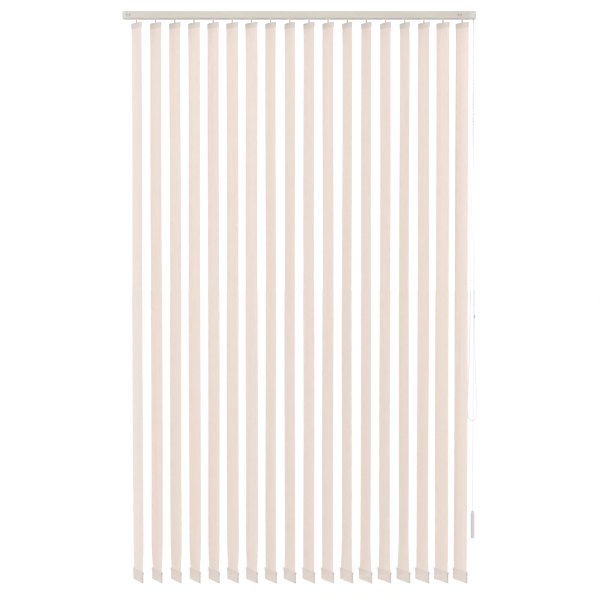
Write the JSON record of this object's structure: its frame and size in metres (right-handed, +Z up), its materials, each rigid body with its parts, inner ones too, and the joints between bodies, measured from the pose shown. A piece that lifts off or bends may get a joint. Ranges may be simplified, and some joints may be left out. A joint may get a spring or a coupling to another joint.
{
  "type": "vertical blind",
  "caption": "Vertical window blind: slim headrail, turning fabric vanes with bottom weights and chains, bead-chain tilt and weighted traverse cord.",
  "frame": {"origin": "on the ceiling plane, midway between the two fixing holes of the swivel clips", "axes": "+Z up, +X along the rail towards the control end, -Y towards the room"},
  "size_m": [1.5144, 0.0926, 2.4415],
  "materials": {
    "rail_metal": "satin powder coat",
    "end_plastic": "satin",
    "white_plastic": "moulded",
    "steel": "zinc plated",
    "screw_steel": "plated",
    "aluminium": "as drawn",
    "vane_fabric": "fine plain weave",
    "hanger_plastic": "translucent moulded",
    "weight_plastic": "moulded",
    "white_cord": "braided",
    "chain_plastic": "gloss",
    "connector_plastic": "moulded",
    "tassel_plastic": "satin"
  },
  "bodies": {
    "rail": {"headrail": "rail_metal", "swivel_clip_left": "steel", "swivel_clip_right": "steel", "idle_end_screws": "screw_steel", "control_end_screws": "screw_steel", "control_housing": "end_plastic", "idle_end_cap": "end_plastic", "rod_bush": "white_plastic", "pulley_pin": "steel", "return_pin": "steel", "carrier_18": "white_plastic", "traverse_cord_run": "white_cord", "traverse_cord_drop": "white_cord", "tassel_weight": "tassel_plastic", "tassel_pin": "steel", "tilt_chain": "chain_plastic", "chain_connector": "connector_plastic"},
    "tilt_drive": {"tilt_rod": "aluminium", "chain_sprocket": "white_plastic"},
    "pulley_near": {"cord_pulley_near": "white_plastic"},
    "pulley_far": {"cord_pulley_far": "white_plastic"},
    "return_wheel": {"return_pulley": "white_plastic"},
    "carrier_01": {"carrier_01": "white_plastic"},
    "vane_01": {"vane_01": "vane_fabric"},
    "carrier_02": {"carrier_02": "white_plastic"},
    "vane_02": {"vane_02": "vane_fabric"},
    "carrier_03": {"carrier_03": "white_plastic"},
    "vane_03": {"vane_03": "vane_fabric"},
    "carrier_04": {"carrier_04": "white_plastic"},
    "vane_04": {"vane_04": "vane_fabric"},
    "carrier_05": {"carrier_05": "white_plastic"},
    "vane_05": {"vane_05": "vane_fabric"},
    "carrier_06": {"carrier_06": "white_plastic"},
    "vane_06": {"vane_06": "vane_fabric"},
    "carrier_07": {"carrier_07": "white_plastic"},
    "vane_07": {"vane_07": "vane_fabric"},
    "carrier_08": {"carrier_08": "white_plastic"},
    "vane_08": {"vane_08": "vane_fabric"},
    "carrier_09": {"carrier_09": "white_plastic"},
    "vane_09": {"vane_09": "vane_fabric"},
    "carrier_10": {"carrier_10": "white_plastic"},
    "vane_10": {"vane_10": "vane_fabric"},
    "carrier_11": {"carrier_11": "white_plastic"},
    "vane_11": {"vane_11": "vane_fabric"},
    "carrier_12": {"carrier_12": "white_plastic"},
    "vane_12": {"vane_12": "vane_fabric"},
    "carrier_13": {"carrier_13": "white_plastic"},
    "vane_13": {"vane_13": "vane_fabric"},
    "carrier_14": {"carrier_14": "white_plastic"},
    "vane_14": {"vane_14": "vane_fabric"},
    "carrier_15": {"carrier_15": "white_plastic"},
    "vane_15": {"vane_15": "vane_fabric"},
    "carrier_16": {"carrier_16": "white_plastic"},
    "vane_16": {"vane_16": "vane_fabric"},
    "carrier_17": {"carrier_17": "white_plastic"},
    "vane_17": {"vane_17": "vane_fabric"},
    "vane_18": {"vane_18": "vane_fabric"},
    "front_chain": {"bottom_chain_front": "chain_plastic"},
    "rear_chain": {"bottom_chain_rear": "chain_plastic"}
  },
  "joints": [
    {"name": "tilt", "type": "hinge", "parent": "rail", "child": "vane_18", "pos_m": [0.6923, 0, 0], "axis": [0, 0, 1], "range_deg": [-111, 49]},
    {"name": "traverse", "type": "slide", "parent": "rail", "child": "carrier_01", "axis": [1, 0, 0], "range_m": [0, 1.0106], "deforming": ["bottom_chain_front", "bottom_chain_rear"]},
    {"name": "vane_01_turn", "type": "hinge", "parent": "carrier_01", "child": "vane_01", "pos_m": [-0.6923, 0, 0], "axis": [0, 0, 1], "range_deg": [-111, 49]},
    {"name": "carrier_02_slide", "type": "slide", "parent": "rail", "child": "carrier_02", "axis": [1, 0, 0], "range_m": [0, 0.95135]},
    {"name": "vane_02_turn", "type": "hinge", "parent": "carrier_02", "child": "vane_02", "pos_m": [-0.61085, 0, 0], "axis": [0, 0, 1], "range_deg": [-111, 49]},
    {"name": "carrier_03_slide", "type": "slide", "parent": "rail", "child": "carrier_03", "axis": [1, 0, 0], "range_m": [0, 0.89191]},
    {"name": "vane_03_turn", "type": "hinge", "parent": "carrier_03", "child": "vane_03", "pos_m": [-0.52941, 0, 0], "axis": [0, 0, 1], "range_deg": [-111, 49]},
    {"name": "carrier_04_slide", "type": "slide", "parent": "rail", "child": "carrier_04", "axis": [1, 0, 0], "range_m": [0, 0.83246]},
    {"name": "vane_04_turn", "type": "hinge", "parent": "carrier_04", "child": "vane_04", "pos_m": [-0.44796, 0, 0], "axis": [0, 0, 1], "range_deg": [-111, 49]},
    {"name": "carrier_05_slide", "type": "slide", "parent": "rail", "child": "carrier_05", "axis": [1, 0, 0], "range_m": [0, 0.77301]},
    {"name": "vane_05_turn", "type": "hinge", "parent": "carrier_05", "child": "vane_05", "pos_m": [-0.36651, 0, 0], "axis": [0, 0, 1], "range_deg": [-111, 49]},
    {"name": "carrier_06_slide", "type": "slide", "parent": "rail", "child": "carrier_06", "axis": [1, 0, 0], "range_m": [0, 0.71357]},
    {"name": "vane_06_turn", "type": "hinge", "parent": "carrier_06", "child": "vane_06", "pos_m": [-0.28507, 0, 0], "axis": [0, 0, 1], "range_deg": [-111, 49]},
    {"name": "carrier_07_slide", "type": "slide", "parent": "rail", "child": "carrier_07", "axis": [1, 0, 0], "range_m": [0, 0.65412]},
    {"name": "vane_07_turn", "type": "hinge", "parent": "carrier_07", "child": "vane_07", "pos_m": [-0.20362, 0, 0], "axis": [0, 0, 1], "range_deg": [-111, 49]},
    {"name": "carrier_08_slide", "type": "slide", "parent": "rail", "child": "carrier_08", "axis": [1, 0, 0], "range_m": [0, 0.59467]},
    {"name": "vane_08_turn", "type": "hinge", "parent": "carrier_08", "child": "vane_08", "pos_m": [-0.12217, 0, 0], "axis": [0, 0, 1], "range_deg": [-111, 49]},
    {"name": "carrier_09_slide", "type": "slide", "parent": "rail", "child": "carrier_09", "axis": [1, 0, 0], "range_m": [0, 0.53522]},
    {"name": "vane_09_turn", "type": "hinge", "parent": "carrier_09", "child": "vane_09", "pos_m": [-0.04072, 0, 0], "axis": [0, 0, 1], "range_deg": [-111, 49]},
    {"name": "carrier_10_slide", "type": "slide", "parent": "rail", "child": "carrier_10", "axis": [1, 0, 0], "range_m": [0, 0.47578]},
    {"name": "vane_10_turn", "type": "hinge", "parent": "carrier_10", "child": "vane_10", "pos_m": [0.04072, 0, 0], "axis": [0, 0, 1], "range_deg": [-111, 49]},
    {"name": "carrier_11_slide", "type": "slide", "parent": "rail", "child": "carrier_11", "axis": [1, 0, 0], "range_m": [0, 0.41633]},
    {"name": "vane_11_turn", "type": "hinge", "parent": "carrier_11", "child": "vane_11", "pos_m": [0.12217, 0, 0], "axis": [0, 0, 1], "range_deg": [-111, 49]},
    {"name": "carrier_12_slide", "type": "slide", "parent": "rail", "child": "carrier_12", "axis": [1, 0, 0], "range_m": [0, 0.35688]},
    {"name": "vane_12_turn", "type": "hinge", "parent": "carrier_12", "child": "vane_12", "pos_m": [0.20362, 0, 0], "axis": [0, 0, 1], "range_deg": [-111, 49]},
    {"name": "carrier_13_slide", "type": "slide", "parent": "rail", "child": "carrier_13", "axis": [1, 0, 0], "range_m": [0, 0.29744]},
    {"name": "vane_13_turn", "type": "hinge", "parent": "carrier_13", "child": "vane_13", "pos_m": [0.28507, 0, 0], "axis": [0, 0, 1], "range_deg": [-111, 49]},
    {"name": "carrier_14_slide", "type": "slide", "parent": "rail", "child": "carrier_14", "axis": [1, 0, 0], "range_m": [0, 0.23799]},
    {"name": "vane_14_turn", "type": "hinge", "parent": "carrier_14", "child": "vane_14", "pos_m": [0.36651, 0, 0], "axis": [0, 0, 1], "range_deg": [-111, 49]},
    {"name": "carrier_15_slide", "type": "slide", "parent": "rail", "child": "carrier_15", "axis": [1, 0, 0], "range_m": [0, 0.17854]},
    {"name": "vane_15_turn", "type": "hinge", "parent": "carrier_15", "child": "vane_15", "pos_m": [0.44796, 0, 0], "axis": [0, 0, 1], "range_deg": [-111, 49]},
    {"name": "carrier_16_slide", "type": "slide", "parent": "rail", "child": "carrier_16", "axis": [1, 0, 0], "range_m": [0, 0.11909]},
    {"name": "vane_16_turn", "type": "hinge", "parent": "carrier_16", "child": "vane_16", "pos_m": [0.52941, 0, 0], "axis": [0, 0, 1], "range_deg": [-111, 49]},
    {"name": "carrier_17_slide", "type": "slide", "parent": "rail", "child": "carrier_17", "axis": [1, 0, 0], "range_m": [0, 0.05965]},
    {"name": "vane_17_turn", "type": "hinge", "parent": "carrier_17", "child": "vane_17", "pos_m": [0.61085, 0, 0], "axis": [0, 0, 1], "range_deg": [-111, 49]},
    {"name": "rod_turn", "type": "hinge", "parent": "rail", "child": "tilt_drive", "pos_m": [0, 0.0095, -0.017], "axis": [1, 0, 0], "range_deg": [-666, 294]},
    {"name": "pulley_near_turn", "type": "hinge", "parent": "rail", "child": "pulley_near", "pos_m": [0.736, -0.0095, -0.0225], "axis": [0, 1, 0], "range_deg": [0, 7723]},
    {"name": "pulley_far_turn", "type": "hinge", "parent": "rail", "child": "pulley_far", "pos_m": [0.736, -0.0165, -0.0225], "axis": [0, 1, 0], "range_deg": [-7723, 0]},
    {"name": "return_turn", "type": "hinge", "parent": "rail", "child": "return_wheel", "pos_m": [-0.724, -0.013, -0.015], "axis": [0, 0, 1], "range_deg": [-16546, 0]},
    {"name": "front_chain_turn", "type": "hinge", "parent": "vane_01", "child": "front_chain", "pos_m": [-0.66583, -0.04406, 0], "axis": [0, 0, 1], "range_deg": [-49, 111]},
    {"name": "rear_chain_turn", "type": "hinge", "parent": "vane_01", "child": "rear_chain", "pos_m": [-0.71877, 0.04406, 0], "axis": [0, 0, 1], "range_deg": [-49, 111]}
  ],
  "couplings": [
    {"joint": "vane_01_turn", "follows": "tilt", "ratio": 1},
    {"joint": "carrier_02_slide", "follows": "traverse", "ratio": 0.94118},
    {"joint": "vane_02_turn", "follows": "tilt", "ratio": 1},
    {"joint": "carrier_03_slide", "follows": "traverse", "ratio": 0.88235},
    {"joint": "vane_03_turn", "follows": "tilt", "ratio": 1},
    {"joint": "carrier_04_slide", "follows": "traverse", "ratio": 0.82353},
    {"joint": "vane_04_turn", "follows": "tilt", "ratio": 1},
    {"joint": "carrier_05_slide", "follows": "traverse", "ratio": 0.76471},
    {"joint": "vane_05_turn", "follows": "tilt", "ratio": 1},
    {"joint": "carrier_06_slide", "follows": "traverse", "ratio": 0.70588},
    {"joint": "vane_06_turn", "follows": "tilt", "ratio": 1},
    {"joint": "carrier_07_slide", "follows": "traverse", "ratio": 0.64706},
    {"joint": "vane_07_turn", "follows": "tilt", "ratio": 1},
    {"joint": "carrier_08_slide", "follows": "traverse", "ratio": 0.58824},
    {"joint": "vane_08_turn", "follows": "tilt", "ratio": 1},
    {"joint": "carrier_09_slide", "follows": "traverse", "ratio": 0.52941},
    {"joint": "vane_09_turn", "follows": "tilt", "ratio": 1},
    {"joint": "carrier_10_slide", "follows": "traverse", "ratio": 0.47059},
    {"joint": "vane_10_turn", "follows": "tilt", "ratio": 1},
    {"joint": "carrier_11_slide", "follows": "traverse", "ratio": 0.41176},
    {"joint": "vane_11_turn", "follows": "tilt", "ratio": 1},
    {"joint": "carrier_12_slide", "follows": "traverse", "ratio": 0.35294},
    {"joint": "vane_12_turn", "follows": "tilt", "ratio": 1},
    {"joint": "carrier_13_slide", "follows": "traverse", "ratio": 0.29412},
    {"joint": "vane_13_turn", "follows": "tilt", "ratio": 1},
    {"joint": "carrier_14_slide", "follows": "traverse", "ratio": 0.23529},
    {"joint": "vane_14_turn", "follows": "tilt", "ratio": 1},
    {"joint": "carrier_15_slide", "follows": "traverse", "ratio": 0.17647},
    {"joint": "vane_15_turn", "follows": "tilt", "ratio": 1},
    {"joint": "carrier_16_slide", "follows": "traverse", "ratio": 0.11765},
    {"joint": "vane_16_turn", "follows": "tilt", "ratio": 1},
    {"joint": "carrier_17_slide", "follows": "traverse", "ratio": 0.058824},
    {"joint": "vane_17_turn", "follows": "tilt", "ratio": 1},
    {"joint": "rod_turn", "follows": "tilt", "ratio": 6},
    {"joint": "pulley_near_turn", "follows": "traverse", "rad_per_m": 133.33},
    {"joint": "pulley_far_turn", "follows": "traverse", "rad_per_m": -133.33},
    {"joint": "return_turn", "follows": "traverse", "rad_per_m": -285.71},
    {"joint": "front_chain_turn", "follows": "tilt", "ratio": -1},
    {"joint": "rear_chain_turn", "follows": "tilt", "ratio": -1}
  ]
}
